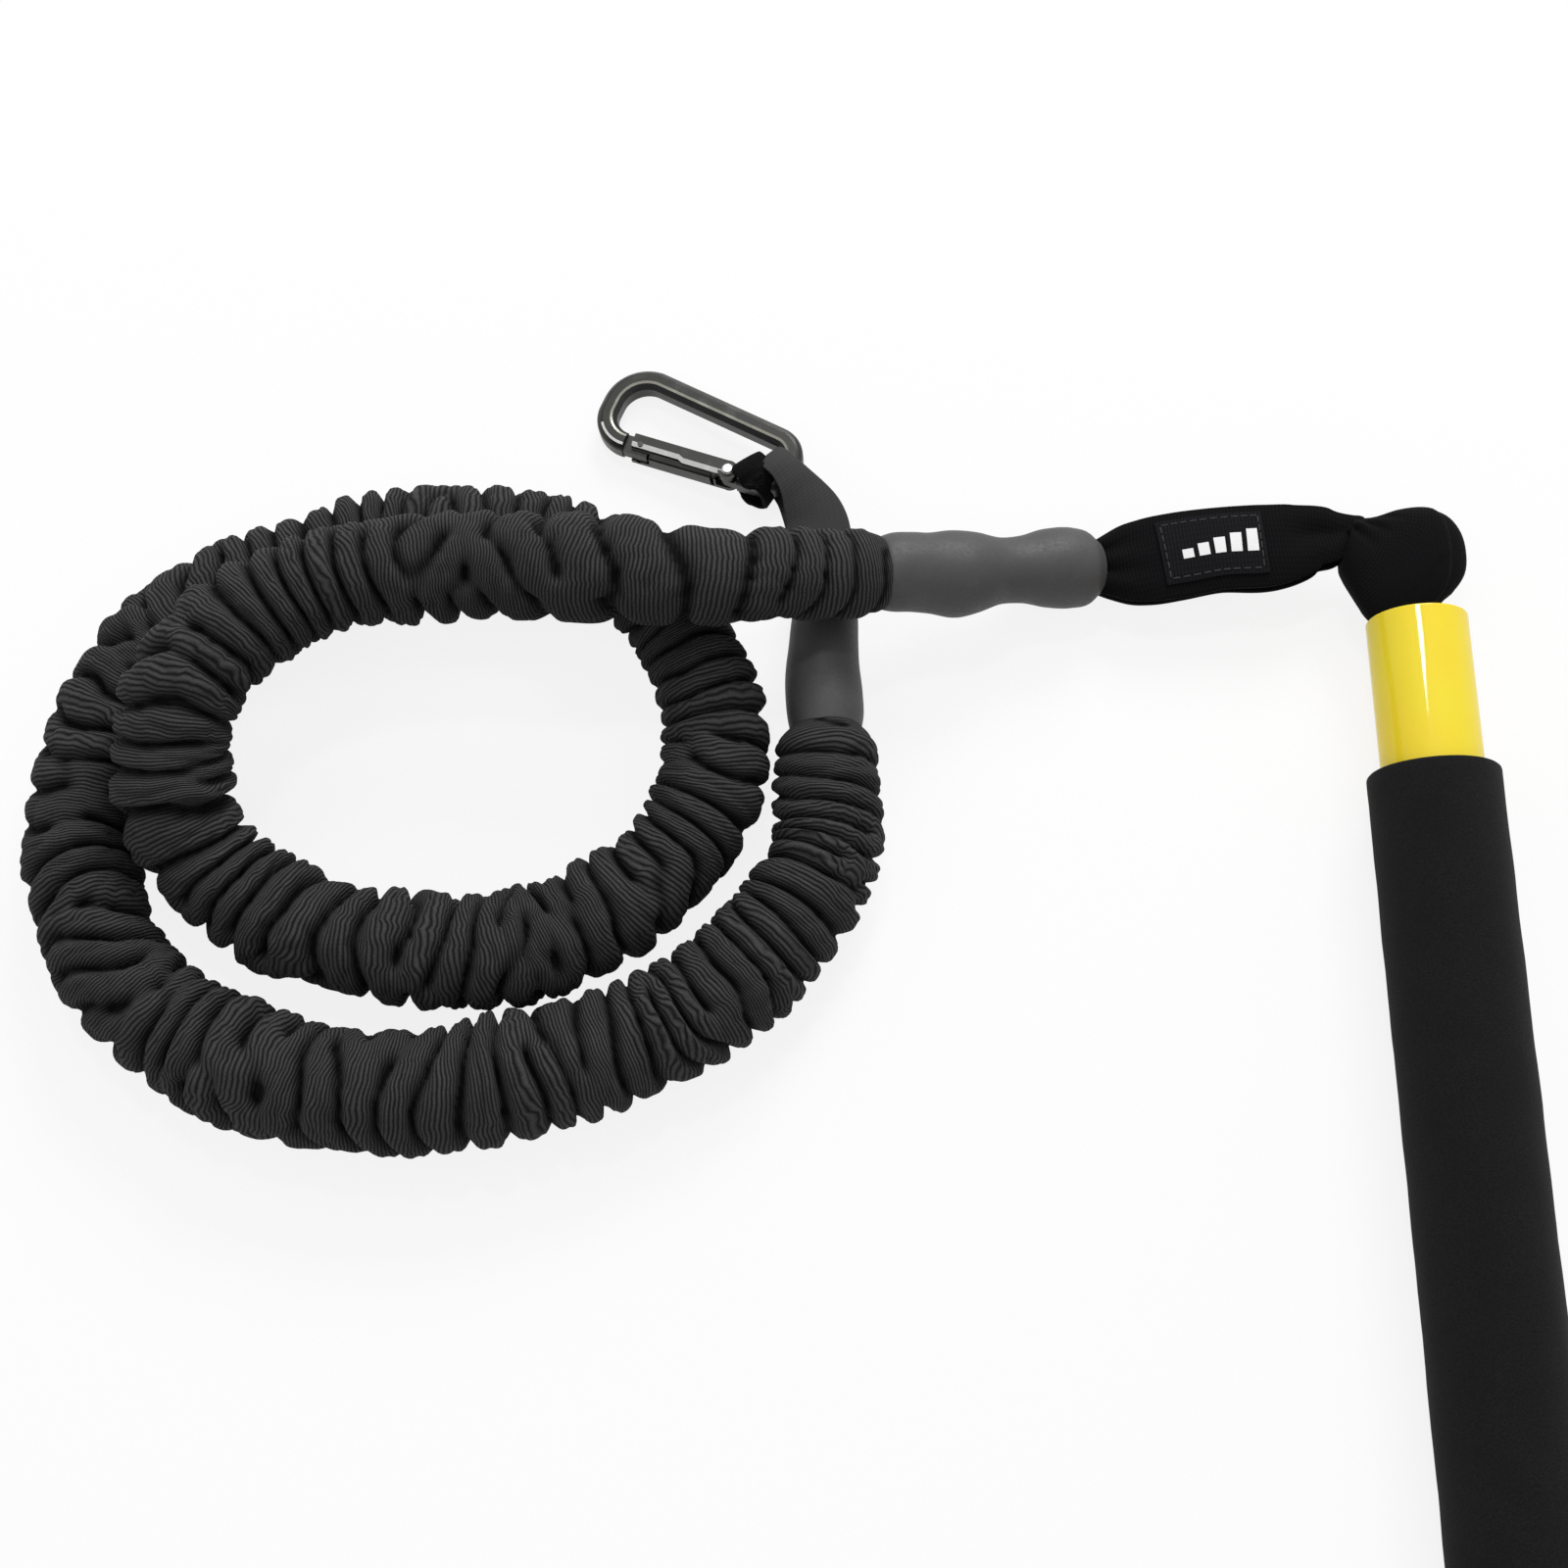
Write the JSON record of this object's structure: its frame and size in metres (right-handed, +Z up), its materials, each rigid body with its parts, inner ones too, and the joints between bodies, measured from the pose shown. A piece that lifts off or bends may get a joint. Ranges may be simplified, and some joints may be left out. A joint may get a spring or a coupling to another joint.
{
  "type": "resistance cord bar",
  "caption": "Padded tube bar with an elastic cord in a gathered sleeve, hitched to its end by a webbing strap and ending in a carabiner.",
  "frame": {"origin": "under the middle of the bar with its cap and end loop, on the floor", "axes": "+Y along the bar towards its corded end, +Z up"},
  "size_m": [0.3869, 1.1571, 0.0544],
  "materials": {
    "tube_yellow": "gloss",
    "foam_black": "matte foam",
    "cap_black": "matte",
    "webbing_black": "ribbed webbing",
    "webbing_grey": "ribbed webbing",
    "label_black": "woven patch",
    "shrink_grey": "satin",
    "sleeve_black": "gathered knit",
    "latex_tan": "satin",
    "plug_white": "satin",
    "steel": "satin",
    "clip_grey": "anodised satin"
  },
  "bodies": {
    "bar": {"bar_tube": "tube_yellow", "foam_grip_cord_end": "foam_black", "foam_grip_far_end": "foam_black", "far_end_cap": "cap_black", "end_loop": "webbing_black", "anchor_pin": "steel"},
    "cord": {"gathered_sleeve": "sleeve_black", "elastic_tube": "latex_tan", "shrink_sleeve_bar_end": "shrink_grey", "shrink_sleeve_clip_end": "shrink_grey", "cord_plug_bar_end": "plug_white", "cord_plug_clip_end": "plug_white", "clamp_ring_bar_end": "steel", "clamp_ring_clip_end": "steel", "strap_loop_bar_end": "webbing_black", "strap_label": "label_black", "strap_loop_clip_end": "webbing_grey"},
    "carabiner": {"carabiner_frame": "clip_grey", "gate_rivet": "steel"},
    "gate": {"gate": "clip_grey", "nose_pin": "steel", "gate_spring": "steel", "gate_plunger": "steel"}
  },
  "joints": [
    {"name": "cord_swing", "type": "hinge", "parent": "bar", "child": "cord", "pos_m": [-0.0136, 0.54575, 0.015], "axis": [0, 0, 1], "range_deg": [-40, 30]},
    {"name": "carabiner_lift", "type": "hinge", "parent": "cord", "child": "carabiner", "pos_m": [-0.1687, 0.56975, 0.0084], "axis": [0.7098, 0.7039, 0.0272], "range_deg": [0, 60]},
    {"name": "gate_opening", "type": "hinge", "parent": "carabiner", "child": "gate", "pos_m": [-0.184, 0.57144, 0.00724], "axis": [0.0719, -0.034, -0.9968], "range_deg": [0, 20], "stiffness_Nm_per_rad": 0.01, "springref_deg": -17.19}
  ]
}
